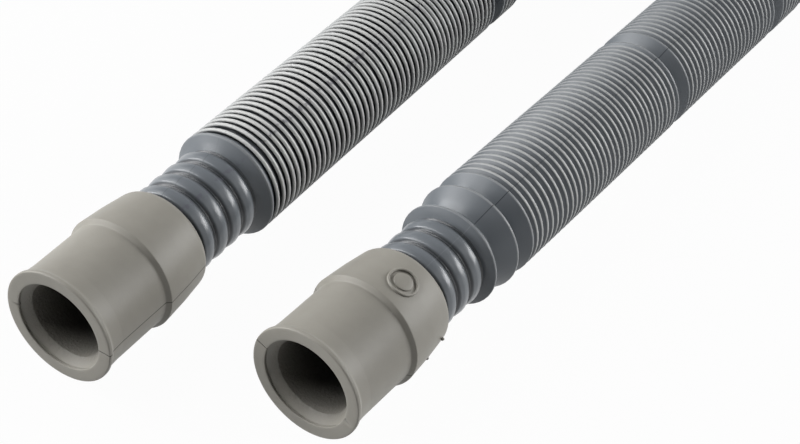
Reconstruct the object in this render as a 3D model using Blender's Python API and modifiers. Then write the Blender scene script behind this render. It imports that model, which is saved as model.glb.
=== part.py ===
"""Extendable drain hose for a washing machine, laid on the floor in one open loop.

One moulded bellows tube with a short corrugated neck at each end, and a soft
cuff pushed over each neck.  Both cuffs face -Y, side by side, and the tube
runs away from them along +Y, round a loop and back.  All lengths are metres.
"""
import math

import bpy
import numpy as np
from mathutils import Vector

COLLECTION_NAME = "drain_hose"
GUIDE_COLLECTION_NAME = "drain_hose_guides"

# Bellows tube: the water way, the wall at the bottom of the folds and at the
# plain sleeves, and the depth of the folds
BORE_RADIUS = 0.0108
VALLEY_WALL = 0.0010
SLEEVE_WALL = 0.0011
FOLD_DEPTH = 0.0037
VALLEY_RADIUS = BORE_RADIUS + VALLEY_WALL
RIM_RADIUS = VALLEY_RADIUS + FOLD_DEPTH
SLEEVE_RADIUS = BORE_RADIUS + SLEEVE_WALL

# One fold along the axis: a long cone that flares out, then a short flank
# that snaps under the cone when the fold is pushed together
CONE_LENGTH = 0.0048
FLANK_LENGTH = 0.0025
OPEN_PITCH = CONE_LENGTH + FLANK_LENGTH

# Cuff: lengths are measured from its mouth
CUFF_LENGTH = 0.0410
CUFF_WALL = 0.0030
FIT_CLEARANCE = 0.0003
SLEEVE_INSERTION = 0.0170
SEAT_RADIUS = SLEEVE_RADIUS + FIT_CLEARANCE
BODY_RADIUS = SEAT_RADIUS + CUFF_WALL
LIP_HEIGHT = 0.0009
LIP_FLARE = 0.0040
LIP_EDGE = 0.0005
LIP_RADIUS = BODY_RADIUS + LIP_HEIGHT
MOUTH_WIDENING = 0.0019
MOUTH_EDGE = 0.0003
MOUTH_DEPTH = 0.0031
STEP_HEIGHT = 0.00115
STEP_POSITION = 0.0224
STEP_CHAMFER = 0.0010
STEP_RADIUS = BODY_RADIUS + STEP_HEIGHT
REAR_TAPER = 0.0005
REAR_ROUND = 0.0025
REAR_RADIUS = BODY_RADIUS - REAR_TAPER

# Corrugated neck at each end of the tube: the first crest lies just behind
# the cuff, and the right neck sits one corrugation deeper in its cuff
NECK_PITCH = 0.00565
NECK_CREST_HEIGHT = 0.0009
NECK_CREST_LAND = 0.0016
NECK_CREST_FLANK = 0.0009
NECK_CREST_RADIUS = SLEEVE_RADIUS + NECK_CREST_HEIGHT
FIRST_CREST = CUFF_LENGTH + NECK_CREST_LAND / 2.0 + NECK_CREST_FLANK
RIGHT_CRESTS = 3
LEFT_CRESTS = 4
LAST_CREST_TO_RIM = 0.0066

# Folds on the two straight legs, from each cuff inwards: how many, and how
# far apart their rims lie
RIGHT_LEG_FOLDS = [
    (1, 0.0088), (1, 0.0073), (35, 0.0022), (1, 0.0063),
    (23, 0.0023), (1, 0.0063), (6, 0.0023),
]
LEFT_LEG_FOLDS = [(30, 0.00236), (20, 0.00215), (1, 0.0063), (4, 0.0023)]
LOOP_PITCH = 0.0080

# Facets round the tube and round the cuffs, and the greatest spacing of the
# rings of the water way
TUBE_SIDES = 11
CUFF_SIDES = 36
BORE_RING_SPACING = 0.022
GUIDE_SPACING = 0.0025

# Length over which a straight leg comes down from its cuff to lie on its rims
LEG_SETTLE = 0.160

# Turn of the tube's facets round its axis, which puts an edge at the bottom
FACET_TURN = math.radians(-90.0)

# Route of the tube's axis over the floor, from the right mouth to the left
# one, chosen by hand: two straight legs and one open loop
ROUTE = [
    (0.0280, 0.0247), (0.0299, 0.0907), (0.0317, 0.1547), (0.0333, 0.2146),
    (0.0347, 0.2620), (0.0374, 0.3015), (0.0503, 0.3389), (0.0690, 0.3739),
    (0.0795, 0.4120), (0.0773, 0.4514), (0.0624, 0.4880), (0.0366, 0.5179),
    (0.0025, 0.5378), (-0.0362, 0.5458), (-0.0754, 0.5408), (-0.1109, 0.5235),
    (-0.1389, 0.4957), (-0.1565, 0.4603), (-0.1618, 0.4212), (-0.1541, 0.3824),
    (-0.1344, 0.3482), (-0.1050, 0.3218), (-0.0733, 0.2980), (-0.0490, 0.2669),
    (-0.0361, 0.2295), (-0.0333, 0.1900), (-0.0319, 0.1400), (-0.0307, 0.0950),
    (-0.0293, 0.0475), (-0.0280, 0.0000),
]


def clear_scene():
    """Remove every object, so that the script starts from nothing."""
    for scene_object in list(bpy.data.objects):
        bpy.data.objects.remove(scene_object, do_unlink=True)


def new_collection(name):
    collection = bpy.data.collections.new(name)
    bpy.context.scene.collection.children.link(collection)
    return collection


def plain_material(name, colour, roughness, metallic=0.0):
    material = bpy.data.materials.new(name)
    material.use_nodes = True
    shader = material.node_tree.nodes["Principled BSDF"]
    shader.inputs["Base Color"].default_value = (*colour, 1.0)
    shader.inputs["Roughness"].default_value = roughness
    shader.inputs["Metallic"].default_value = metallic
    return material


def spline_through(points, samples_per_span=40):
    """Natural cubic spline through the points, as a dense row of points."""
    points = np.array(points)
    spans = np.linalg.norm(np.diff(points, axis=0), axis=1)
    count = len(points)
    system = np.eye(count)
    right_side = np.zeros_like(points)
    slopes = np.diff(points, axis=0) / spans[:, None]
    for i in range(1, count - 1):
        system[i, i - 1:i + 2] = spans[i - 1], 2.0 * (spans[i - 1] + spans[i]), spans[i]
        right_side[i] = 6.0 * (slopes[i] - slopes[i - 1])
    bending = np.linalg.solve(system, right_side)
    rows = []
    for i, span in enumerate(spans):
        after = (np.arange(samples_per_span) / samples_per_span)[:, None] * span
        before = span - after
        rows.append(
            (bending[i] * before**3 + bending[i + 1] * after**3) / (6.0 * span)
            + (points[i] / span - bending[i] * span / 6.0) * before
            + (points[i + 1] / span - bending[i + 1] * span / 6.0) * after
        )
    return np.vstack(rows + [points[-1:]])


def lengths_along(points):
    steps = np.linalg.norm(np.diff(points, axis=0), axis=1)
    return np.concatenate([[0.0], np.cumsum(steps)])


def first_rim(crests):
    """Distance from a mouth to the first fold rim behind a neck."""
    return FIRST_CREST + (crests - 1) * NECK_PITCH + LAST_CREST_TO_RIM


def axis_height(along, total):
    """Height of the axis: the cuffs lie on their step, the legs settle on their rims."""
    from_end = np.minimum(along, total - along)
    share = np.clip((from_end - CUFF_LENGTH) / LEG_SETTLE, 0.0, 1.0)
    blend = share * share * (3.0 - 2.0 * share)
    return STEP_RADIUS + (RIM_RADIUS - STEP_RADIUS) * blend


def hose_axis():
    """Evenly spaced points of the axis, centred on the floor, and its length."""
    flat = spline_through(ROUTE)
    along = lengths_along(flat)
    total = along[-1]
    even = np.linspace(0.0, total, int(round(total / GUIDE_SPACING)) + 1)
    x = np.interp(even, along, flat[:, 0])
    y = np.interp(even, along, flat[:, 1])
    toe_in = math.atan2(flat[-2, 0] - flat[-1, 0], flat[-2, 1] - flat[-1, 1])
    front = flat[-1, 1] - LIP_RADIUS * abs(math.sin(toe_in))
    x -= (flat[:, 0].min() + flat[:, 0].max()) / 2.0
    y -= (front + flat[:, 1].max() + RIM_RADIUS) / 2.0
    return np.column_stack([x, y, axis_height(even, total)]), total


def rim_positions(total):
    """Distances of all fold rims from the right mouth."""
    right = [first_rim(RIGHT_CRESTS)]
    for count, pitch in RIGHT_LEG_FOLDS:
        right += [right[-1] + pitch * (i + 1) for i in range(count)]
    left = [total - first_rim(LEFT_CRESTS)]
    for count, pitch in LEFT_LEG_FOLDS:
        left += [left[-1] - pitch * (i + 1) for i in range(count)]
    gap = left[-1] - right[-1]
    loop_folds = max(1, round(gap / LOOP_PITCH))
    loop = [right[-1] + gap * i / loop_folds for i in range(1, loop_folds)]
    return right + loop + left[::-1]


def neck_profile(sleeve_start, crests):
    """Sleeve and corrugations from inside the cuff up to the last crest."""
    points = [(SLEEVE_RADIUS, sleeve_start)]
    half_land = NECK_CREST_LAND / 2.0
    for i in range(crests):
        centre = FIRST_CREST + i * NECK_PITCH
        points += [
            (SLEEVE_RADIUS, centre - half_land - NECK_CREST_FLANK),
            (NECK_CREST_RADIUS, centre - half_land),
            (NECK_CREST_RADIUS, centre + half_land),
            (SLEEVE_RADIUS, centre + half_land + NECK_CREST_FLANK),
        ]
    return points


def hose_profile(total):
    """Closed outline of the tube's wall, laid out straight: (radius, distance)."""
    rims = rim_positions(total)
    sleeve_start = CUFF_LENGTH - SLEEVE_INSERTION
    outer = neck_profile(sleeve_start, RIGHT_CRESTS)
    outer.append((VALLEY_RADIUS, rims[0] - FLANK_LENGTH))
    outer.append((RIM_RADIUS, rims[0]))
    for before, after in zip(rims, rims[1:]):
        cone = CONE_LENGTH * max(1.0, (after - before) / OPEN_PITCH)
        outer.append((VALLEY_RADIUS, after - cone))
        outer.append((RIM_RADIUS, after))
    outer.append((VALLEY_RADIUS, rims[-1] + FLANK_LENGTH))
    left_neck = neck_profile(sleeve_start, LEFT_CRESTS)
    outer += [(radius, total - distance) for radius, distance in reversed(left_neck)]
    rings = math.ceil((total - 2.0 * sleeve_start) / BORE_RING_SPACING)
    inner = [
        (BORE_RADIUS, sleeve_start + (total - 2.0 * sleeve_start) * i / rings)
        for i in range(rings + 1)
    ]
    return outer[::-1] + inner


def cuff_profile():
    """Closed outline of a cuff's wall: (radius, distance from the mouth)."""
    corner_start = CUFF_LENGTH - REAR_ROUND
    corner = []
    for angle in (0.0, 22.5, 45.0, 67.5, 90.0):
        turn = math.radians(angle)
        radius = REAR_RADIUS - REAR_ROUND * (1.0 - math.cos(turn))
        corner.append((radius, corner_start + REAR_ROUND * math.sin(turn)))
    flare = []
    for share in (0.0, 0.33, 0.66, 1.0):
        radius = BODY_RADIUS + LIP_HEIGHT * (1.0 - share)**2
        flare.append((radius, LIP_EDGE + (LIP_FLARE - LIP_EDGE) * share))
    outer = [(LIP_RADIUS - LIP_EDGE, 0.0)] + flare
    outer += [(BODY_RADIUS, STEP_POSITION), (STEP_RADIUS, STEP_POSITION + STEP_CHAMFER)] + corner
    seat = CUFF_LENGTH - SLEEVE_INSERTION - FIT_CLEARANCE
    mouth_radius = BORE_RADIUS + MOUTH_WIDENING
    inner = [
        (mouth_radius + MOUTH_EDGE, 0.0),
        (mouth_radius, MOUTH_EDGE),
        (BORE_RADIUS, MOUTH_DEPTH),
        (BORE_RADIUS, seat),
        (SEAT_RADIUS, seat),
        (SEAT_RADIUS, CUFF_LENGTH),
    ]
    return outer[::-1] + inner


def turned_object(name, outline, sides, collection):
    """Turn a closed outline of (radius, height) pairs round the Z axis."""
    count = len(outline)
    mesh = bpy.data.meshes.new(name)
    mesh.from_pydata(
        [(radius, 0.0, height) for radius, height in outline],
        [(i, (i + 1) % count) for i in range(count)],
        [],
    )
    turned = bpy.data.objects.new(name, mesh)
    collection.objects.link(turned)
    screw = turned.modifiers.new("turn", "SCREW")
    screw.axis = "Z"
    screw.steps = sides
    screw.render_steps = sides
    screw.use_merge_vertices = True
    screw.merge_threshold = 0.00001
    screw.use_smooth_shade = True
    return turned


def guide_curve(axis_points, collection):
    """The tube's axis as a curve, which bends the straight tube."""
    curve = bpy.data.curves.new("hose_axis", "CURVE")
    curve.dimensions = "3D"
    curve.twist_mode = "Z_UP"
    spline = curve.splines.new("POLY")
    spline.points.add(len(axis_points) - 1)
    for point, place in zip(spline.points, axis_points):
        point.co = (*place, 1.0)
        point.tilt = FACET_TURN
    guide = bpy.data.objects.new("hose_axis", curve)
    guide.hide_render = True
    guide.display_type = "WIRE"
    collection.objects.link(guide)
    return guide


def build_hose(axis_points, total, collection, guides):
    hose = turned_object("hose", hose_profile(total), TUBE_SIDES, collection)
    bend = hose.modifiers.new("bend", "CURVE")
    bend.object = guide_curve(axis_points, guides)
    bend.deform_axis = "POS_Z"
    hose.data.materials.append(plain_material("grey_polypropylene", (0.16, 0.175, 0.19), 0.38))
    return hose


def build_cuff(name, mouth, inward, material, collection):
    cuff = turned_object(name, cuff_profile(), CUFF_SIDES, collection)
    cuff.location = mouth
    cuff.rotation_euler = inward.to_track_quat("Z", "Y").to_euler()
    cuff.data.materials.append(material)
    return cuff


def main():
    clear_scene()
    parts = new_collection(COLLECTION_NAME)
    guides = new_collection(GUIDE_COLLECTION_NAME)
    axis_points, total = hose_axis()
    build_hose(axis_points, total, parts, guides)
    rubber = plain_material("warm_grey_rubber", (0.27, 0.26, 0.23), 0.6)
    right = [Vector(point) for point in axis_points[:2]]
    left = [Vector(point) for point in axis_points[:-3:-1]]
    build_cuff("right_cuff", right[0], right[1] - right[0], rubber, parts)
    build_cuff("left_cuff", left[0], left[1] - left[0], rubber, parts)


main()
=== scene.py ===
"""Looks of an extendable drain hose: folded tube, two moulded cuffs, floor, light, camera.

All lengths are metres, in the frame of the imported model.  A distance is measured
along the tube's axis from the right mouth, or on a cuff from its own mouth.
An angle round the tube or a cuff runs from the right-hand side up to the top, as
seen by someone who looks in where its distances start.
"""
import math

import bpy
import numpy as np
from mathutils import Matrix, Vector


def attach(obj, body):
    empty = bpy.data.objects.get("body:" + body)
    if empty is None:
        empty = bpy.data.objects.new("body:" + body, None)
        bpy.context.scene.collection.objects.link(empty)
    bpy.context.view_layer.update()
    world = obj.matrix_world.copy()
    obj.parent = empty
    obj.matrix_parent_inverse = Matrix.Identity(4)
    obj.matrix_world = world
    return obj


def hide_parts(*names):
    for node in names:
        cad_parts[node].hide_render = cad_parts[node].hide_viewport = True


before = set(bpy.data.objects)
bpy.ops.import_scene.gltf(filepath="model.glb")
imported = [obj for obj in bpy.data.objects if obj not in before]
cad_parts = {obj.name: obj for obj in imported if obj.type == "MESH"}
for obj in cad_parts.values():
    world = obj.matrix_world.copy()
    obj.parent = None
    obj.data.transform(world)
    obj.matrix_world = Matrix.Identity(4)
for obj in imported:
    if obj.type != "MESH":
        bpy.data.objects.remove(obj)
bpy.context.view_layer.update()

# Tube: radii of the water way, the folds' bottom, the plain sleeve and the rims
BORE_RADIUS = 0.0108
VALLEY_RADIUS = 0.0118
SLEEVE_RADIUS = 0.0119
RIM_RADIUS = 0.0155

# One fold: the lengths of the cone that flares out and of the flank behind it, the radius
# of the bead on each, the flat land between the beads, and the bulge of the cone
CONE_LENGTH = 0.0048
FLANK_LENGTH = 0.0025
OPEN_PITCH = CONE_LENGTH + FLANK_LENGTH
CONE_BEAD = 0.00020
RIM_LAND = 0.00030
FLANK_BEAD = 0.00042
CONE_BULGE = 0.00010

# A fold on a straight leg is open where either neighbour is further away than this
CLOSED_PITCH = 0.0040

# How far rims stray and lean, each with the seed of its draw, and how many stay exact
RIM_WANDER = 0.00005
WANDER_SEED = 4
RIM_TILT = 0.00010
TILT_SEED = 9
EXACT_RIGHT_RIMS = 3
EXACT_LEFT_RIMS = 1

# Neck between a cuff and the first fold.  A corner is (offset, radius, rounding, steps):
# a crest has a thin foot ridge, a steep front, a slow rise, a fine groove and a sloped back
NECK_PITCH = 0.00565
NECK_VALLEY_RADIUS = 0.0116
FOOT_CORNERS = [
    (-0.00172, NECK_VALLEY_RADIUS, 0.00010, 2), (-0.00145, 0.01208, 0.00013, 4),
    (-0.00118, 0.01165, 0.00008, 2),
]
CREST_CORNERS = FOOT_CORNERS + [
    (-0.00085, 0.01165, 0.00008, 2), (-0.00060, 0.01243, 0.00060, 6),
    (0.00070, 0.01281, 0.0016, 3), (0.00198, 0.01294, 0.00012, 2),
    (0.00212, 0.01282, 0.00005, 2), (0.00228, 0.01284, 0.00010, 2),
    (0.00370, 0.01185, 0.00030, 3),
]
FIRST_CREST = 0.0427
RIGHT_CRESTS = 3
LEFT_CRESTS = 4
SLEEVE_START = 0.0240
NECK_START = 0.0395

# The neck ends this far short of where its next crest would be, and its last ring lies
# just before the first fold's own valley
NECK_RUNOUT = 0.0012
LAST_RING_GAP = 0.00001

# Kinds of fold, by their mesh and painted shades: how pale the rim is, partly from stress
# whitening and partly a painted highlight, how dark (above 0) or pale (below 0) the seam is,
# a painted shade or highlight on its raised line, how dark the painted shade in the gap is,
# how much lower the rim is, the shares of cone and flank that have a ring, and the rings of
# the two beads
END_FOLD = dict(
    rim_whitening_and_highlight=0.15, seam_shade=-0.35, painted_gap_shade=0.0, rim_drop=0.0,
    cone_shares=(0.0, 0.05, 0.35, 0.65, 0.97), bead_rings=(3, 4), flank_shares=(0.06, 0.5, 0.93),
)
END_RIGHT_FOLD = dict(END_FOLD, rim_drop=0.0006)
END_LEFT_FOLD = dict(END_FOLD, seam_shade=0.12)
OPEN_FOLD = dict(END_FOLD, rim_whitening_and_highlight=0.22, seam_shade=1.0)
# The left leg's rims are paler and its gaps darker than the right leg's: painted highlight and
# painted shade
CLOSED_RIGHT_FOLD = dict(
    rim_whitening_and_highlight=0.62, seam_shade=0.45, painted_gap_shade=0.25, rim_drop=0.0, cone_shares=(0.0, 0.96),
    bead_rings=(2, 4), flank_shares=(0.05,),
)
CLOSED_LEFT_FOLD = dict(CLOSED_RIGHT_FOLD, rim_whitening_and_highlight=1.0, seam_shade=0.15, painted_gap_shade=0.6)
LOOP_FOLD = dict(
    rim_whitening_and_highlight=0.4, seam_shade=0.7, painted_gap_shade=0.0, rim_drop=0.0, cone_shares=(0.0, 0.95),
    bead_rings=(1, 3), flank_shares=(),
)

# Painted shades of the necks: how dark the painted shade in a valley is, from which radius
# down and how soon, and the seam's painted shade (above 0) or painted highlight (below 0)
NECK_PAINTED_VALLEY_SHADE = 0.7
NECK_GAP_RADIUS = 0.0124
NECK_GAP_DEPTH = 0.0006
RIGHT_NECK_SEAM = -0.25
LEFT_NECK_SEAM = 0.45

# Folds: the first rim of each leg, then from there inwards how many and how far apart, and
# about how far apart they are on the loop
RIGHT_FIRST_RIM = 0.0602
LEFT_FIRST_RIM = 0.0668
RIGHT_LEG_FOLDS = [
    (1, 0.0093), (1, 0.0071), (8, 0.00249), (26, 0.00222), (1, 0.0065),
    (23, 0.00232), (1, 0.0063), (6, 0.0023),
]
LEFT_LEG_FOLDS = [(2, 0.00265), (28, 0.00235), (20, 0.00214), (1, 0.0063), (4, 0.0023)]
LOOP_PITCH = 0.0080

# Mesh of the tube: its sides, and the spacing of the rings in the water way
TUBE_SIDES = 46
BORE_RING_SPACING = 0.021

# Mould seam along the tube: its angle at the right and at the left end
SEAM_RIGHT = math.radians(71.0)
SEAM_LEFT = math.radians(79.5)

# Pale rims, partly stress whitening and partly a painted highlight: the side where they
# are palest as light falls there, seen going in at either end, the distances between which
# the painted highlight dims, and how pale they then still are
RIM_HIGHLIGHT_SIDE = math.radians(50.0)
RIM_HIGHLIGHT_FADE = (0.10, 0.20)
RIM_LEAST_HIGHLIGHT = 0.65

# Row of small scuffs on the left leg's rims: its angle, and how far it runs from the left end
SCUFF_ANGLE = math.radians(112.3)
SCUFF_REACH = 0.22

# Cuff, measured from its mouth.  A corner of its outline is (distance, radius, rounding,
# steps), from the inner edge of the lip's face over the outside and back through the bore
CUFF_LENGTH = 0.0406
SEAT_RADIUS = 0.0120
SEAT_START = 0.0237
BODY_RADIUS = 0.0152
LIP_RADIUS = 0.0161
STEP_RADIUS = 0.01635
STEP_POSITION = 0.0224
STEP_CHAMFER = 0.0010
REAR_ROUND = 0.0025
CUFF_CORNERS = [
    (0.0000, 0.0125, 0.00018, 3), (0.0000, 0.0132, 0.0, 1), (0.0000, 0.0148, 0.0, 1),
    (0.0000, LIP_RADIUS, 0.00034, 5), (0.0010, LIP_RADIUS, 0.00040, 4),
    (0.0020, 0.01545, 0.0016, 6), (0.0060, BODY_RADIUS, 0.0040, 4),
    (STEP_POSITION, BODY_RADIUS, 0.0005, 4),
    (STEP_POSITION + STEP_CHAMFER, STEP_RADIUS, 0.00036, 5), (0.0315, 0.01568, 0.030, 5),
    (CUFF_LENGTH, 0.01452, REAR_ROUND, 9), (CUFF_LENGTH, SEAT_RADIUS, 0.00025, 3),
    (SEAT_START, SEAT_RADIUS, 0.0, 1), (SEAT_START, BORE_RADIUS, 0.0002, 3),
    (0.0120, BORE_RADIUS, 0.0, 1), (0.0031, BORE_RADIUS, 0.00035, 4),
    (0.0009, 0.01262, 0.0002, 3), (0.0009, 0.01285, 0.0001, 2),
    (0.0005, 0.01285, 0.0001, 2), (0.0005, 0.0125, 0.0001, 2),
]
CUFF_SIDES = 120

# Zones of a cuff: the radius past which it is outer skin, the distance at which the flat
# face of its lip ends, the one at which the painted shade in its bore starts, and how soon
# that painted shade is darkest
SKIN_RADIUS = SEAT_RADIUS + 0.0008
FACE_DEPTH = 0.0004
BORE_START = 0.0028
BORE_SHADE_FADE = 0.012

# Parting lines of a cuff: extra columns on each side of a line and their step, the groove's
# depth, its width and where it starts, and the angle of the first line on each cuff
PARTING_STEPS = 8
PARTING_STEP = 0.008
PARTING_GROOVE = 0.00006
PARTING_WIDTH = 0.00011
PARTING_START = 0.0012
RIGHT_PARTING = math.radians(-16.0)
LEFT_PARTING = math.radians(3.0)

# Side on which the face of each lip has a cut line, the notches in that face, each with
# its angle, radius, length, width and depth, and how far in a notch can reach
RIGHT_CUT = RIGHT_PARTING + math.pi
LEFT_CUT = LEFT_PARTING
RIGHT_NOTCHES = [
    (RIGHT_PARTING + math.pi, 0.0145, 0.0020, 0.00012, 0.00035),
    (RIGHT_PARTING, 0.0127, 0.0006, 0.00080, 0.00080),
]
LEFT_NOTCHES = [
    (LEFT_PARTING, 0.0145, 0.0020, 0.00012, 0.00030),
    (LEFT_PARTING + math.pi, 0.0126, 0.0004, 0.00040, 0.00060),
]
NOTCH_REACH = 0.0008

# Round blank mark on the right cuff: its place, the profiles of its ring and its disc as
# (distance from its middle, height above the skin), and the radius past which that skin is
MARK_DISTANCE = 0.0308
MARK_ANGLE = math.radians(73.6)
MARK_RING = [
    (0.00345, -0.0003), (0.00349, 0.00036), (0.00359, 0.00050), (0.00378, 0.00055),
    (0.00398, 0.00052), (0.00412, 0.00040), (0.00421, 0.00012), (0.00425, -0.0003),
]
MARK_DISC = [
    (0.00030, 0.00040), (0.00120, 0.00040), (0.00238, 0.00040), (0.00255, 0.00034),
    (0.00263, 0.00016), (0.00267, -0.0003), (0.00030, -0.0003),
]
MARK_SIDES = 72
MARK_SKIN_RADIUS = 0.0148

# Flakes of moulding flash on the right cuff: distance, angle and darkness of each, how far
# out their middle is, their half length, half width and half height, and their rings, sides
# and the angle at which both ends are cut
BURRS = [(0.0358, math.radians(-4.5), 0.2), (0.0314, math.radians(-20.5), 0.8)]
BURR_RADIUS = 0.0156
BURR_SIZE = (0.00055, 0.00035, 0.00045)
BURR_RINGS = 7
BURR_SIDES = 12
BURR_END = 0.15

# Axis: the cuffs lie on their step and the legs settle on their rims over this length
LEG_SETTLE = 0.160
AXIS_SPACING = 0.0025

# Route of the axis over the floor, from the right mouth to the left one, before it is centred
ROUTE = [
    (0.0280, 0.0247), (0.0299, 0.0907), (0.0317, 0.1547), (0.0333, 0.2146),
    (0.0347, 0.2620), (0.0374, 0.3015), (0.0503, 0.3389), (0.0690, 0.3739),
    (0.0795, 0.4120), (0.0773, 0.4514), (0.0624, 0.4880), (0.0366, 0.5179),
    (0.0025, 0.5378), (-0.0362, 0.5458), (-0.0754, 0.5408), (-0.1109, 0.5235),
    (-0.1389, 0.4957), (-0.1565, 0.4603), (-0.1618, 0.4212), (-0.1541, 0.3824),
    (-0.1344, 0.3482), (-0.1050, 0.3218), (-0.0733, 0.2980), (-0.0490, 0.2669),
    (-0.0361, 0.2295), (-0.0333, 0.1900), (-0.0319, 0.1400), (-0.0307, 0.0950),
    (-0.0293, 0.0475), (-0.0280, 0.0000),
]

# Plastic: its two tones, the painted shade of gaps and valleys, the tone of rims (stress
# whitening and painted highlight), that of scuffs, and the seam's painted shade and its
# painted highlight
PLASTIC_TONES = (0.140, 0.155, 0.171, 1.0), (0.182, 0.198, 0.216, 1.0)
PAINTED_GAP_SHADE_TONE = (0.02, 0.02, 0.022, 1.0)
RIM_WHITENING_AND_HIGHLIGHT_TONE = (0.74, 0.74, 0.72, 1.0)
SCUFF_TONE = (0.13, 0.13, 0.16, 1.0)
SHADED_SEAM_TONE = (0.03, 0.032, 0.036, 1.0)
LIT_SEAM_TONE = (0.30, 0.31, 0.32, 1.0)

# Rubber: its two tones, the tone of its parting lines, and the painted shade that darkens
# its bore, its notches and the foot of its mark, and that burrs are darkened towards
RUBBER_TONES = (0.255, 0.243, 0.215, 1.0), (0.343, 0.329, 0.293, 1.0)
PARTING_TONE = (0.04, 0.036, 0.032, 1.0)
PAINTED_SHADE_TONE = (0.03, 0.029, 0.026, 1.0)

# Half widths of a seam line and of the row of scuffs, and a distance past any seam line
SEAM_HALF_WIDTH = 0.00020
SCUFF_HALF_WIDTH = 0.0012
NO_SEAM = 0.004

# Camera: where it stands, the way it looks and its lens
CAMERA_PLACE = (0.21856, -0.50417, 0.34852)
CAMERA_AZIMUTH = 0.488
CAMERA_ELEVATION = 0.758
CAMERA_ROLL = -0.171
CAMERA_LENS = 82.575
SENSOR_WIDTH = 36.0

# Soft boxes: name, azimuth from +Y towards +X, elevation, distance, size and power, and
# the point that all of them face
LIGHTS = [
    ("left_box", -103.0, 27.0, 1.5, (0.65, 0.9), 17.0),
    ("left_front_box", -135.0, 12.0, 1.5, (0.8, 0.5), 9.0),
    ("left_front_high_box", -130.0, 50.0, 1.5, (0.7, 0.45), 8.0),
    ("right_high_box", 90.0, 45.0, 1.5, (0.8, 0.6), 1.5),
    ("right_back_box", 43.0, 20.0, 1.5, (1.0, 0.6), 19.5),
]
LIGHTS_FACE = (0.0, -0.1, 0.0)

# Surroundings: the plain light, the ceiling that glosses see and the heights at which the
# white horizon turns into it, and the floor's half width, level, grey and share of white
WHITE = (1.0, 1.0, 1.0, 1.0)
AMBIENT_LIGHT = (0.03, 0.03, 0.03, 1.0)
CEILING = (0.06, 0.06, 0.06, 1.0)
CEILING_HEIGHTS = (0.08, 0.35)
FLOOR_HALF = 4.0
FLOOR_LEVEL = -0.0001
FLOOR_GREY = (0.5, 0.5, 0.5, 1.0)
FLOOR_WHITE_SHARE = 0.97


def spline_through(points, samples_per_span=40):
    """Natural cubic spline through the points.

    Each span is one cubic, with equal slope and bend where two spans join and no bend
    at the ends.
    """
    points = np.array(points)
    spans = np.linalg.norm(np.diff(points, axis=0), axis=1)
    count = len(points)
    system = np.eye(count)
    right_side = np.zeros_like(points)
    slopes = np.diff(points, axis=0) / spans[:, None]
    for i in range(1, count - 1):
        system[i, i - 1:i + 2] = spans[i - 1], 2.0 * (spans[i - 1] + spans[i]), spans[i]
        right_side[i] = 6.0 * (slopes[i] - slopes[i - 1])
    bending = np.linalg.solve(system, right_side)
    after = np.linspace(0.0, 1.0, samples_per_span, endpoint=False)[None, :, None]
    after = after * spans[:, None, None]
    wide = spans[:, None, None]
    before = wide - after
    rows = (
        (bending[:-1, None] * before**3 + bending[1:, None] * after**3) / (6.0 * wide)
        + (points[:-1, None] / wide - bending[:-1, None] * wide / 6.0) * before
        + (points[1:, None] / wide - bending[1:, None] * wide / 6.0) * after
    )
    return np.vstack([rows.reshape(-1, 2), points[-1:]])


def lengths_along(points):
    """Length of the line through the points, from the first one to each."""
    steps = np.linalg.norm(np.diff(points, axis=0), axis=1)
    return np.concatenate([[0.0], np.cumsum(steps)])


def tube_axis():
    """Evenly spaced points of the axis as it lies on the floor, and its length.

    The height falls from the cuff's step to the rims by the smooth step 3t^2 - 2t^3.
    """
    flat = spline_through(ROUTE)
    along = lengths_along(flat)
    total = along[-1]
    even = np.linspace(0.0, total, int(round(total / AXIS_SPACING)) + 1)
    x = np.interp(even, along, flat[:, 0])
    y = np.interp(even, along, flat[:, 1])
    toe_in = math.atan2(flat[-2, 0] - flat[-1, 0], flat[-2, 1] - flat[-1, 1])
    front = flat[-1, 1] - LIP_RADIUS * abs(math.sin(toe_in))
    x -= (flat[:, 0].min() + flat[:, 0].max()) / 2.0
    y -= (front + flat[:, 1].max() + RIM_RADIUS) / 2.0
    share = np.clip((np.minimum(even, total - even) - CUFF_LENGTH) / LEG_SETTLE, 0.0, 1.0)
    height = STEP_RADIUS + (RIM_RADIUS - STEP_RADIUS) * share * share * (3.0 - 2.0 * share)
    return np.column_stack([x, y, height]), total


AXIS, TOTAL = tube_axis()
AXIS_DISTANCES = np.linspace(0.0, TOTAL, len(AXIS))
AXIS_DIRECTIONS = np.gradient(AXIS, axis=0)
AXIS_DIRECTIONS /= np.linalg.norm(AXIS_DIRECTIONS, axis=1)[:, None]


def along_axis(distance, radius, angle):
    """Points round the bent axis: centre + radius * (cos(angle) * side + sin(angle) * up)."""
    shape = np.broadcast(distance, radius, angle).shape
    distance, radius, angle = (np.broadcast_to(part, shape) for part in (distance, radius, angle))
    centre = np.stack([np.interp(distance, AXIS_DISTANCES, AXIS[:, k]) for k in range(3)], -1)
    ahead = np.stack(
        [np.interp(distance, AXIS_DISTANCES, AXIS_DIRECTIONS[:, k]) for k in range(3)], -1
    )
    side = np.stack([ahead[..., 1], -ahead[..., 0], np.zeros(shape)], -1)
    side /= np.linalg.norm(side, axis=-1)[..., None]
    up = np.cross(side, ahead)
    round_it = np.cos(angle)[..., None] * side + np.sin(angle)[..., None] * up
    return centre + radius[..., None] * round_it


def along_cuff(mouth, inward, distance, radius, angle):
    """Points round a cuff's straight axis, as along_axis does for the tube."""
    side = np.array([inward[1], -inward[0], 0.0])
    up = np.array([0.0, 0.0, 1.0])
    round_it = np.cos(angle)[..., None] * side + np.sin(angle)[..., None] * up
    return mouth + distance[..., None] * inward + radius[..., None] * round_it


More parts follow.
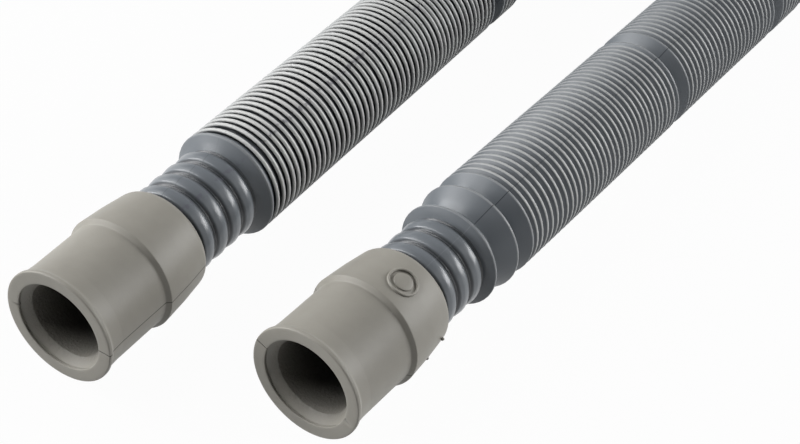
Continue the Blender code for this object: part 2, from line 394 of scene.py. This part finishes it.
def rounded(corners):
    """Outline through corners (distance, radius, rounding, steps), each turned into an arc.

    An arc's centre lies on the corner's bisector, at rounding / sin(half the corner), and
    the arc touches both sides at rounding / tan(half the corner).
    """
    points = []
    for i, (x, y, rounding, steps) in enumerate(corners):
        here = np.array([x, y])
        back = np.array(corners[i - 1][:2]) - here
        ahead = np.array(corners[(i + 1) % len(corners)][:2]) - here
        if rounding == 0.0:
            points.append(here)
            continue
        back /= np.linalg.norm(back)
        ahead /= np.linalg.norm(ahead)
        half = math.acos(np.clip(back @ ahead, -1.0, 1.0)) / 2.0
        middle = (back + ahead) / np.linalg.norm(back + ahead)
        centre = here + middle * rounding / math.sin(half)
        start = here + back * rounding / math.tan(half) - centre
        end = here + ahead * rounding / math.tan(half) - centre
        sweep = math.atan2(start[0] * end[1] - start[1] * end[0], start @ end)
        for step in np.linspace(0.0, 1.0, steps):
            c, s = math.cos(sweep * step), math.sin(sweep * step)
            points.append(centre + (c * start[0] - s * start[1], s * start[0] + c * start[1]))
    return np.array(points)


def ring_mesh(name, points, closed_rows=True):
    """Quads between the rows and columns of a grid of points; the columns close round.

    The rows close as well, or a polygon closes the first row and another one the last.
    """
    rows, columns = points.shape[:2]
    row = np.arange(rows if closed_rows else rows - 1)[:, None]
    column = np.arange(columns)[None, :]
    next_row = (row + 1) % rows * columns
    next_column = (column + 1) % columns
    row = row * columns
    faces = np.stack(
        [row + column, next_row + column, next_row + next_column, row + next_column], -1
    ).reshape(-1, 4).tolist()
    if not closed_rows:
        ends = np.arange(rows * columns).reshape(rows, columns)[[0, -1]]
        faces += [ends[0].tolist(), ends[1].tolist()[::-1]]
    mesh = bpy.data.meshes.new(name)
    mesh.from_pydata(points.reshape(-1, 3).tolist(), [], faces)
    mesh.shade_smooth()
    return mesh


def set_attribute(mesh, name, values):
    """Give every point of the mesh a number, for the materials to read."""
    attribute = mesh.attributes.new(name, "FLOAT", "POINT")
    attribute.data.foreach_set("value", np.ascontiguousarray(values, dtype=np.float32).ravel())


def add_piece(name, mesh, material, slot_name, *nodes):
    """Put a mesh in the scene, in place of the CAD nodes that it replaces, if it does."""
    piece = bpy.data.objects.new(name, mesh)
    bpy.context.scene.collection.objects.link(piece)
    mesh.materials.append(material)
    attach(piece, "root")
    if nodes:
        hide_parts(*nodes)
    return piece


def add_trim(name, mesh, shape, depth, material):
    """A small rubber piece on a cuff, without a parting line, as dark as depth says.

    For a mark, depth is painted shade at its sunk foot; for a burr, it is the burr's listed
    darkness.
    """
    set_attribute(mesh, "seam", np.full(shape, NO_SEAM))
    set_attribute(mesh, "inside", np.zeros(shape))
    set_attribute(mesh, "depth", np.broadcast_to(depth, shape))
    add_piece(name, mesh, material, "cuff_rubber")


def neck_end(crests):
    """Where the neck ends at the first fold, behind one foot ridge more than it has crests."""
    return FIRST_CREST + crests * NECK_PITCH - NECK_RUNOUT


def neck_rows(crests, seam_shade):
    """Rows of one neck from inside its cuff to the first fold, as fold_rows gives them.

    Every crest repeats the same rounded outline, and its foot ridge comes once more at
    the foot of the first fold.
    """
    corners = [(SLEEVE_START, SLEEVE_RADIUS, 0.0, 1), (NECK_START, SLEEVE_RADIUS, 0.0, 1)]
    for i in range(crests + 1):
        start = FIRST_CREST + i * NECK_PITCH
        outline = CREST_CORNERS if i < crests else FOOT_CORNERS
        corners += [(start + offset, *rest) for offset, *rest in outline]
    outline = rounded(corners + [(neck_end(crests) - LAST_RING_GAP, VALLEY_RADIUS, 0.0, 1)])
    # Painted shade in the neck's valleys: none above NECK_GAP_RADIUS, full NECK_GAP_DEPTH below it
    low = np.clip((NECK_GAP_RADIUS - outline[:, 1]) / NECK_GAP_DEPTH, 0.0, 1.0)
    return np.column_stack([outline, -NECK_PAINTED_VALLEY_SHADE * low, np.full(len(outline), seam_shade)])


def fold_rows(
    before, rim, after, rim_whitening_and_highlight, seam_shade, painted_gap_shade, rim_drop, cone_shares, bead_rings,
    flank_shares,
):
    """Rows of one fold, from its valley over its rim: distance, radius, rim share, seam shade.

    The cone touches a small arc and the flank a larger one, with a flat land between
    them.  A line from a point to an arc's tangent leaves at the angle towards the
    centre plus the arcsine of radius over distance.  The cone bulges by a half sine.
    A rim share above 0 is the rim's whitening and painted highlight, and one below 0
    says how dark the painted shade in the gap is.
    """
    top = RIM_RADIUS - rim_drop
    cone_centre = np.array([rim - RIM_LAND, top - CONE_BEAD])
    flank_centre = np.array([rim, top - FLANK_BEAD])
    valley = np.array([before, VALLEY_RADIUS])
    next_valley = np.array([after, VALLEY_RADIUS])
    run, rise = cone_centre - valley
    cone_angle = math.atan2(rise, run) + math.asin(CONE_BEAD / math.hypot(rise, run))
    run, rise = next_valley - flank_centre
    flank_angle = math.atan2(rise, run) - math.asin(FLANK_BEAD / math.hypot(rise, run))
    if flank_angle > 0.0:
        flank_angle -= 2.0 * math.pi
    up_turns = np.linspace(cone_angle, 0.0, bead_rings[0])[:, None] + math.pi / 2.0
    down_turns = np.linspace(0.0, flank_angle, bead_rings[1])[:, None] + math.pi / 2.0
    up_arc = cone_centre + CONE_BEAD * np.hstack([np.cos(up_turns), np.sin(up_turns)])
    down_arc = flank_centre + FLANK_BEAD * np.hstack([np.cos(down_turns), np.sin(down_turns)])
    share = np.array(cone_shares)[:, None]
    outward = np.array([-math.sin(cone_angle), math.cos(cone_angle)])
    cone = valley + (up_arc[0] - valley) * share + CONE_BULGE * np.sin(np.pi * share) * outward
    share = np.array(flank_shares).reshape(-1, 1)
    flank = down_arc[-1] + (next_valley - down_arc[-1]) * share
    rows = np.vstack([cone, up_arc, down_arc, flank])
    # Bead rows carry the rim's whitening and painted highlight, cone and flank rows the painted
    # shade of the gap
    on_rim = np.full(len(rows), -painted_gap_shade)
    on_rim[len(cone):len(rows) - len(flank)] = rim_whitening_and_highlight
    return np.column_stack([rows, on_rim, np.full(len(rows), seam_shade)])


def rim_positions():
    """Distances of all rims, and how many are on each straight leg.

    The legs' rims lie as listed, and the loop's evenly between them.
    """
    right = [RIGHT_FIRST_RIM]
    for count, pitch in RIGHT_LEG_FOLDS:
        right += [right[-1] + pitch * (i + 1) for i in range(count)]
    left = [TOTAL - LEFT_FIRST_RIM]
    for count, pitch in LEFT_LEG_FOLDS:
        left += [left[-1] - pitch * (i + 1) for i in range(count)]
    gap = left[-1] - right[-1]
    loop_folds = max(1, round(gap / LOOP_PITCH))
    loop = [right[-1] + gap * i / loop_folds for i in range(1, loop_folds)]
    return np.array(right + loop + left[::-1]), len(right), len(left)


def fold_kinds(pitch, in_right, in_left):
    """The kind of every fold, by its place and by how far away its neighbours are."""
    last = len(pitch)
    kinds = [LOOP_FOLD] * (last + 1)
    for i in [*range(in_right), *range(last + 1 - in_left, last + 1)]:
        if i == 0:
            kinds[i] = END_RIGHT_FOLD
        elif i == last:
            kinds[i] = END_LEFT_FOLD
        elif max(pitch[i - 1], pitch[i]) > CLOSED_PITCH:
            kinds[i] = OPEN_FOLD
        else:
            kinds[i] = CLOSED_RIGHT_FOLD if i < in_right else CLOSED_LEFT_FOLD
    return kinds


def tube_rows():
    """All rows of the tube's skin, as fold_rows gives them, and each row's fold."""
    rims, in_right, in_left = rim_positions()
    wander = np.random.default_rng(WANDER_SEED).normal(0.0, RIM_WANDER, len(rims))
    wander[:EXACT_RIGHT_RIMS] = 0.0
    wander[-EXACT_LEFT_RIMS:] = 0.0
    rims = rims + np.clip(wander, -2.0 * RIM_WANDER, 2.0 * RIM_WANDER)
    pitch = np.diff(rims)
    cone = CONE_LENGTH * np.maximum(1.0, pitch / OPEN_PITCH)
    before = np.concatenate([[neck_end(RIGHT_CRESTS)], rims[1:] - cone])
    after = np.concatenate([before[1:], [TOTAL - neck_end(LEFT_CRESTS)]])
    rows = [neck_rows(RIGHT_CRESTS, RIGHT_NECK_SEAM)]
    for i, kind in enumerate(fold_kinds(pitch, in_right, in_left)):
        rows.append(fold_rows(before[i], rims[i], after[i], **kind))
    left_neck = neck_rows(LEFT_CRESTS, LEFT_NECK_SEAM)[::-1]
    rows.append(left_neck * (-1.0, 1.0, 1.0, 1.0) + (TOTAL, 0.0, 0.0, 0.0))
    fold_of_rows = np.clip(np.arange(len(rows)) - 1, 0, len(rims) - 1)
    folds = [np.full(len(made), fold) for made, fold in zip(rows, fold_of_rows)]
    count = math.ceil((TOTAL - 2.0 * SLEEVE_START) / BORE_RING_SPACING)
    bore = np.linspace(TOTAL - SLEEVE_START, SLEEVE_START, count + 1)
    smooth = np.zeros(count + 1)
    rows.append(np.column_stack([bore, np.full(count + 1, BORE_RADIUS), smooth, smooth]))
    folds.append(np.full(count + 1, 0))
    return np.vstack(rows), np.concatenate(folds), len(rims)


def build_tube(material):
    """The whole tube: its rows turned round the axis, each fold leaning a little its own way.

    The first column of every row lies on the mould seam, and another on the seam opposite.
    A rim sways along the axis by its lean * cos(angle - the side it leans to), and a lower
    row of its fold by less.  Seen going in at either end, the rims' paleness, partly a
    painted highlight, fades round the tube by half of 1 + cos(angle - the lit side), and
    dims further from the mouths.
    """
    rows, folds, rims = tube_rows()
    distance, radius = rows[:, 0, None], rows[:, 1, None]
    from_seam = (np.arange(TUBE_SIDES) / TUBE_SIDES * 2.0 * np.pi)[None, :]
    angle = SEAM_RIGHT + (SEAM_LEFT - SEAM_RIGHT) * distance / TOTAL + from_seam
    chance = np.random.default_rng(TILT_SEED)
    lean = chance.normal(0.0, RIM_TILT, rims).clip(-2.0 * RIM_TILT, 2.0 * RIM_TILT)
    toward = chance.uniform(0.0, 2.0 * np.pi, rims)
    height = np.clip((radius - VALLEY_RADIUS) / (RIM_RADIUS - VALLEY_RADIUS), 0.0, 1.0)
    swayed = distance + lean[folds, None] * np.cos(angle - toward[folds, None]) * height
    points = along_axis(swayed, radius, angle)
    mesh = ring_mesh("hose_skin", points)
    full = np.ones_like(points[..., 0])
    set_attribute(mesh, "seam", RIM_RADIUS * np.sin(from_seam) * full)
    set_attribute(mesh, "along", swayed * full)
    set_attribute(mesh, "height", height * full)
    # Painted highlight on the rims: brightest on the lit side, dimmer away from the mouths
    from_end = np.minimum(distance, TOTAL - distance)
    going_in = np.where(distance < TOTAL / 2.0, angle, np.pi - angle)
    rim_highlight_fading = 0.5 + 0.5 * np.cos(going_in - RIM_HIGHLIGHT_SIDE)
    rim_highlight_fading = rim_highlight_fading * np.interp(from_end, RIM_HIGHLIGHT_FADE, (1.0, RIM_LEAST_HIGHLIGHT))
    set_attribute(mesh, "rim", np.maximum(rows[:, 2, None], 0.0) * rim_highlight_fading)
    set_attribute(mesh, "gap", np.maximum(-rows[:, 2, None], 0.0) * full)
    set_attribute(mesh, "seam_shade", rows[:, 3, None] * full)
    neck = (distance < neck_end(RIGHT_CRESTS)) | (distance > TOTAL - neck_end(LEFT_CRESTS))
    set_attribute(mesh, "neck", neck * full)
    from_scuff = from_seam + SEAM_LEFT - SCUFF_ANGLE
    scuffed = (distance > TOTAL - SCUFF_REACH) & (np.cos(from_scuff) > 0.0)
    scuff = np.where(scuffed, RIM_RADIUS * np.sin(from_scuff) * full, RIM_RADIUS)
    set_attribute(mesh, "scuff", scuff)
    return add_piece("bellows_hose", mesh, material, "bellows_plastic", "hose")


def cuff_angles(parting):
    """Even angles round a cuff, with a dense fan of them about both parting lines.

    An angle that almost meets the one before it is left out.
    """
    even = np.arange(CUFF_SIDES) / CUFF_SIDES * 2.0 * np.pi
    fan = np.arange(-PARTING_STEPS, PARTING_STEPS + 1) * PARTING_STEP
    angles = np.concatenate([even, fan + parting, fan + parting + np.pi]) % (2.0 * np.pi)
    angles = np.sort(angles)
    keep = np.concatenate([[True], np.diff(angles) > 0.3 * PARTING_STEP])
    return angles[keep]


def build_cuff(name, node, mouth, inward, parting, face_cut, notches, material):
    """One cuff: its rounded outline turned round, with parting grooves and lip notches.

    A groove sinks by its depth * exp(-(distance from the parting line / its width)^2),
    and a notch by a bell of the same form that has a length as well as a width.
    """
    outline = rounded(CUFF_CORNERS)
    distance, radius, angle = np.broadcast_arrays(
        outline[:, 0, None], outline[:, 1, None], cuff_angles(parting)[None, :]
    )
    distance, radius = distance.copy(), radius.copy()
    outside = radius > SKIN_RADIUS
    face = distance < FACE_DEPTH
    notch_painted_shade = np.zeros_like(distance)
    seam = radius * np.sin(angle - parting)
    groove = PARTING_GROOVE * np.exp(-(seam / PARTING_WIDTH)**2)
    radius -= groove * (outside & (distance > PARTING_START))
    for at_angle, at_radius, length, width, depth in notches:
        facing = np.cos(angle - at_angle) > 0.0
        across = radius * np.sin(angle - at_angle) / width
        outward = (radius - at_radius) / length
        dent = np.exp(-across**2 - outward**2) * facing * (distance < NOTCH_REACH)
        distance += depth * dent
        notch_painted_shade = np.maximum(notch_painted_shade, dent)
    mesh = ring_mesh(name, along_cuff(mouth, inward, distance, radius, angle))
    # Painted shade: the bore darkens inwards from BORE_START, and on the skin and the face a notch
    # darkens where it dents
    set_attribute(mesh, "inside", ~outside & (distance > BORE_START))
    depth = np.clip((distance - BORE_START) / BORE_SHADE_FADE, 0.0, 1.0)
    set_attribute(mesh, "depth", np.where(outside | face, notch_painted_shade, depth))
    cut_side = np.cos(angle - face_cut) > 0.0
    shown = (outside & ~face) | (face & cut_side)
    set_attribute(mesh, "seam", np.where(shown, seam, NO_SEAM))
    return add_piece(name, mesh, material, "cuff_rubber", node)


def build_mark(mouth, inward, material):
    """A plain raised ring round a plain flat disc, bent over the cuff's rear skin.

    A point at (across, turn) lies at distance + across * cos(turn) and at
    angle + across * sin(turn) / radius, and stands out by its own height.
    """
    outline = rounded(CUFF_CORNERS)
    rear = outline[:, 0] > STEP_POSITION + STEP_CHAMFER
    skin = outline[rear & (outline[:, 1] > MARK_SKIN_RADIUS)]
    turn = np.arange(MARK_SIDES)[None, :] / MARK_SIDES * 2.0 * np.pi
    for name, profile in (("mark_ring", MARK_RING), ("mark_disc", MARK_DISC)):
        across, height = np.array(profile)[:, 0, None], np.array(profile)[:, 1, None]
        distance = MARK_DISTANCE + across * np.cos(turn)
        base = np.interp(distance, skin[:, 0], skin[:, 1])
        angle = MARK_ANGLE + across * np.sin(turn) / base
        points = along_cuff(mouth, inward, distance, base + height, angle)
        mesh = ring_mesh(name, points, closed_rows=profile is MARK_RING)
        # Rows sunk below the skin get full painted shade, which darkens the foot of the ring and of
        # the disc
        add_trim(name, mesh, distance.shape, height < 0.0, material)


def build_burr(name, mouth, inward, at_distance, at_angle, darkness, material):
    """A small flake of moulding flash on the cuff's skin: a stretched ball, half sunk in it.

    Its rows run from one end to the other: at - length * cos(turn) along the cuff, and
    a ring that is sin(turn) as high and as wide as the ball round that line.
    """
    length, width, height = BURR_SIZE
    along = np.linspace(BURR_END, np.pi - BURR_END, BURR_RINGS)[:, None]
    turn = np.arange(BURR_SIDES)[None, :] / BURR_SIDES * 2.0 * np.pi
    distance, turn = np.broadcast_arrays(at_distance - length * np.cos(along), turn)
    radius = BURR_RADIUS + height * np.sin(along) * np.cos(turn)
    angle = at_angle + width * np.sin(along) * np.sin(turn) / BURR_RADIUS
    mesh = ring_mesh(name, along_cuff(mouth, inward, distance, radius, angle), closed_rows=False)
    add_trim(name, mesh, distance.shape, darkness, material)


class Value:
    """A socket on which arithmetic adds Math nodes."""

    def __init__(self, graph, socket):
        self.graph = graph
        self.socket = socket

    def __add__(self, other):
        return self.graph.math("ADD", self, other)

    def __sub__(self, other):
        return self.graph.math("SUBTRACT", self, other)

    def __rsub__(self, other):
        return self.graph.math("SUBTRACT", other, self)

    def __mul__(self, other):
        return self.graph.math("MULTIPLY", self, other)

    __radd__ = __add__
    __rmul__ = __mul__


class Graph:
    """The node tree of a material or of the world."""

    def __init__(self, tree):
        self.tree = tree
        tree.nodes.clear()

    def node(self, kind, settings, inputs, output=0):
        """Add a node, make its settings, fill its sockets, and wrap one of its outputs."""
        node = self.tree.nodes.new(kind)
        for name, setting in settings.items():
            setattr(node, name, setting)
        for name, value in inputs.items():
            if isinstance(value, Value):
                self.tree.links.new(value.socket, node.inputs[name])
            else:
                node.inputs[name].default_value = value
        return Value(self, node.outputs[output]) if len(node.outputs) else None

    def math(self, operation, *values):
        return self.node("ShaderNodeMath", {"operation": operation}, dict(enumerate(values)))

    def noise(self, place, scale, detail=2.0, roughness=0.5):
        inputs = {"Vector": place, "Scale": scale, "Detail": detail, "Roughness": roughness}
        return self.node("ShaderNodeTexNoise", {}, inputs)

    def attribute(self, name):
        return self.node("ShaderNodeAttribute", {"attribute_name": name}, {}, "Fac")

    def band(self, value, low, high):
        """0 below low, 1 above high and a smooth step between."""
        settings = {"interpolation_type": "SMOOTHSTEP"}
        inputs = {"Value": value, "From Min": low, "From Max": high}
        return self.node("ShaderNodeMapRange", settings, inputs)

    def line(self, value, half_width):
        """1 where the value is near nought and 0 past the half width."""
        return 1.0 - self.band(self.math("ABSOLUTE", value), 0.3 * half_width, half_width)

    def mix(self, share, first, second):
        """A colour between two colours, by a share from 0 to 1.

        The colours are the Mix node's sockets 6 and 7, and its output 2.
        """
        inputs = {0: share, 6: first, 7: second}
        return self.node("ShaderNodeMix", {"data_type": "RGBA"}, inputs, 2)

    def ray(self, kind):
        """1 for rays of this kind."""
        return self.node("ShaderNodeLightPath", {}, {}, kind)

    def sees_backdrop(self):
        """1 for the camera's rays and for those that a gloss or a clear body sends on."""
        camera_or_gloss = self.math("MAXIMUM", self.ray("Is Camera Ray"), self.ray("Is Glossy Ray"))
        return self.math("MAXIMUM", camera_or_gloss, self.ray("Is Transmission Ray"))

    def surface(self, shader):
        self.node("ShaderNodeOutputMaterial", {}, {"Surface": shader})


def new_material(name):
    """A material with an empty graph, and the place on the piece for its patterns."""
    material = bpy.data.materials.new(name)
    material.use_nodes = True
    graph = Graph(material.node_tree)
    place = graph.node("ShaderNodeTexCoord", {}, {}, "Object")
    return material, graph, place


def hose_material():
    """Satin blue-grey polypropylene: fine lines round it, pale rims, a mould seam, a glossy neck.

    Painted shade darkens the gaps between folds and the neck's valleys; the rims' paleness is
    partly stress whitening and partly a painted highlight; the seam is painted dark or pale
    as light would fall on its raised line.
    """
    material, graph, place = new_material("satin_polypropylene")
    height, along = graph.attribute("height"), graph.attribute("along")
    seam = graph.line(graph.attribute("seam"), SEAM_HALF_WIDTH)
    cloud = graph.noise(place, 60.0, 3.0)
    grain = graph.noise(place, 2600.0, 2.0)
    stretched = graph.node("ShaderNodeCombineXYZ", {}, {"X": along, "Y": 0.0, "Z": height * 0.001})
    rings = graph.noise(stretched, 4200.0, 3.0, 0.7)
    tone = graph.mix(cloud, *PLASTIC_TONES)
    # Painted shade in the gaps between closed folds and in the neck's valleys
    tone = graph.mix(graph.attribute("gap"), tone, PAINTED_GAP_SHADE_TONE)
    # Pale rims: stress whitening and a painted highlight
    tone = graph.mix(graph.attribute("rim") * 0.90, tone, RIM_WHITENING_AND_HIGHLIGHT_TONE)
    near_scuff = graph.line(graph.attribute("scuff"), SCUFF_HALF_WIDTH)
    patchy = graph.band(graph.noise(place, 520.0, 2.0), 0.50, 0.58)
    tone = graph.mix(near_scuff * patchy * 0.6, tone, SCUFF_TONE)
    # Mould seam line: painted shade where its shade is above 0, painted highlight where below
    shade = graph.attribute("seam_shade")
    shaded_seam = seam * graph.math("MAXIMUM", shade, 0.0)
    lit_seam = seam * graph.math("MAXIMUM", 0.0 - shade, 0.0)
    tone = graph.mix(shaded_seam * 0.75, tone, SHADED_SEAM_TONE)
    tone = graph.mix(lit_seam, tone, LIT_SEAM_TONE)
    rough = 0.26 + graph.band(height, 0.3, 0.6) * 0.10 + cloud * 0.06 + rings * 0.05
    relief = grain * 0.004 + rings * 0.006
    normal = graph.node("ShaderNodeBump", {}, {"Height": relief, "Distance": 0.001, "Strength": 1.0})
    inputs = {
        "Base Color": tone, "Roughness": rough, "Normal": normal, "IOR": 1.49,
        "Specular IOR Level": 0.34, "Coat Weight": graph.attribute("neck") * 0.36,
        "Coat Roughness": 0.24,
    }
    graph.surface(graph.node("ShaderNodeBsdfPrincipled", {}, inputs))
    return material


def cuff_material():
    """Matte warm-grey rubber: soft clouds, a fine grain, and a coarse grain in the bore.

    Painted shade darkens the bore inwards, the lip's notches and the foot of the mark, and
    burrs are darkened towards the same tone.
    """
    material, graph, place = new_material("moulded_rubber")
    seam = graph.line(graph.attribute("seam"), SEAM_HALF_WIDTH)
    inside, depth = graph.attribute("inside"), graph.attribute("depth")
    cloud = graph.noise(place, 45.0, 4.0, 0.6)
    grain = graph.noise(place, 2300.0, 3.0, 0.6)
    coarse = graph.noise(place, 1500.0, 2.0, 0.6)
    mottle = graph.noise(place, 260.0, 3.0, 0.6)
    tone = graph.mix(cloud * 0.6 + mottle * 0.4, *RUBBER_TONES)
    tone = graph.mix(seam * 0.95, tone, PARTING_TONE)
    # Painted shade in the bore, in the notches and at the mark's foot; burrs darkened by their
    # listed darkness
    tone = graph.mix(inside * 0.32 + depth * 0.64, tone, PAINTED_SHADE_TONE)
    rough = 0.42 + cloud * 0.12
    relief = grain * 0.010 + inside * coarse * 0.22
    normal = graph.node("ShaderNodeBump", {}, {"Height": relief, "Distance": 0.001})
    inputs = {
        "Base Color": tone, "Roughness": rough, "Normal": normal, "IOR": 1.5,
        "Specular IOR Level": 0.35,
    }
    graph.surface(graph.node("ShaderNodeBsdfPrincipled", {}, inputs))
    return material


def add_camera():
    """The camera looks down along the legs, turned a little about its own line of sight."""
    turn_cos, turn_sin = math.cos(CAMERA_AZIMUTH), math.sin(CAMERA_AZIMUTH)
    drop_cos, drop_sin = math.cos(CAMERA_ELEVATION), math.sin(CAMERA_ELEVATION)
    look = Vector((-turn_sin * drop_cos, turn_cos * drop_cos, -drop_sin))
    level = Vector((turn_cos, turn_sin, 0.0))
    up = level.cross(look)
    roll = Matrix.Rotation(CAMERA_ROLL, 3, look)
    level, up = roll @ level, roll @ up
    camera = bpy.data.objects.new("camera", bpy.data.cameras.new("camera"))
    bpy.context.scene.collection.objects.link(camera)
    axes = Matrix((level, up, -look)).transposed().to_4x4()
    camera.matrix_world = Matrix.Translation(CAMERA_PLACE) @ axes
    camera.data.lens = CAMERA_LENS
    camera.data.sensor_width = SENSOR_WIDTH
    camera.data.sensor_fit = "HORIZONTAL"
    camera.data.clip_start = 0.01
    bpy.context.scene.camera = camera


def add_floor():
    """A wide white floor that keeps a soft shadow, seen by the camera as almost pure white."""
    mesh = bpy.data.meshes.new("floor")
    signs = [(-1, -1), (1, -1), (1, 1), (-1, 1)]
    corners = [(x * FLOOR_HALF, y * FLOOR_HALF, FLOOR_LEVEL) for x, y in signs]
    mesh.from_pydata(corners, [], [(0, 1, 2, 3)])
    floor = bpy.data.objects.new("floor", mesh)
    bpy.context.scene.collection.objects.link(floor)
    material, graph, _ = new_material("white_floor")
    share = graph.sees_backdrop() * FLOOR_WHITE_SHARE
    matt = graph.node("ShaderNodeBsdfDiffuse", {}, {"Color": FLOOR_GREY})
    light = graph.node("ShaderNodeEmission", {}, {"Color": WHITE})
    graph.surface(graph.node("ShaderNodeMixShader", {}, {0: share, 1: matt, 2: light}))
    mesh.materials.append(material)


def add_light(name, azimuth, elevation, away, size, power):
    """A soft box that faces the hose, its azimuth turned from +Y towards +X."""
    a, e = math.radians(azimuth), math.radians(elevation)
    towards = Vector((math.sin(a) * math.cos(e), math.cos(a) * math.cos(e), math.sin(e)))
    lamp = bpy.data.lights.new(name, "AREA")
    lamp.shape = "RECTANGLE"
    lamp.size, lamp.size_y = size
    lamp.energy = power
    holder = bpy.data.objects.new(name, lamp)
    bpy.context.scene.collection.objects.link(holder)
    holder.location = towards * away + Vector(LIGHTS_FACE)
    holder.rotation_euler = towards.to_track_quat("Z", "Y").to_euler()


def add_world():
    """White for the camera, a white horizon under a grey ceiling for glosses, else plain grey."""
    world = bpy.data.worlds.new("studio")
    world.use_nodes = True
    graph = Graph(world.node_tree)
    direction = graph.node("ShaderNodeTexCoord", {}, {}, "Generated")
    height = graph.node("ShaderNodeSeparateXYZ", {}, {"Vector": direction}, "Z")
    backdrop = graph.mix(graph.band(height, *CEILING_HEIGHTS), WHITE, CEILING)
    tone = graph.mix(graph.sees_backdrop(), AMBIENT_LIGHT, backdrop)
    tone = graph.mix(graph.ray("Is Camera Ray"), tone, WHITE)
    background = graph.node("ShaderNodeBackground", {}, {"Color": tone, "Strength": 1.0})
    graph.node("ShaderNodeOutputWorld", {}, {"Surface": background})
    bpy.context.scene.world = world


def main():
    bpy.context.scene.view_settings.view_transform = "Standard"
    add_camera()
    tube = build_tube(hose_material())
    rubber = cuff_material()
    right_mouth, left_mouth = AXIS[0], AXIS[-1]
    right_inward = (AXIS[1] - AXIS[0]) / np.linalg.norm(AXIS[1] - AXIS[0])
    left_inward = (AXIS[-2] - AXIS[-1]) / np.linalg.norm(AXIS[-2] - AXIS[-1])
    build_cuff(
        "right_cuff_rubber", "right_cuff", right_mouth, right_inward, RIGHT_PARTING, RIGHT_CUT,
        RIGHT_NOTCHES, rubber,
    )
    left_cuff = build_cuff(
        "left_cuff_rubber", "left_cuff", left_mouth, left_inward, LEFT_PARTING, LEFT_CUT,
        LEFT_NOTCHES, rubber,
    )
    build_mark(right_mouth, right_inward, rubber)
    for i, burr in enumerate(BURRS):
        build_burr("flash_%d" % (i + 1), right_mouth, right_inward, *burr, rubber)
    add_floor()
    for light in LIGHTS:
        add_light(*light)
    add_world()


main()
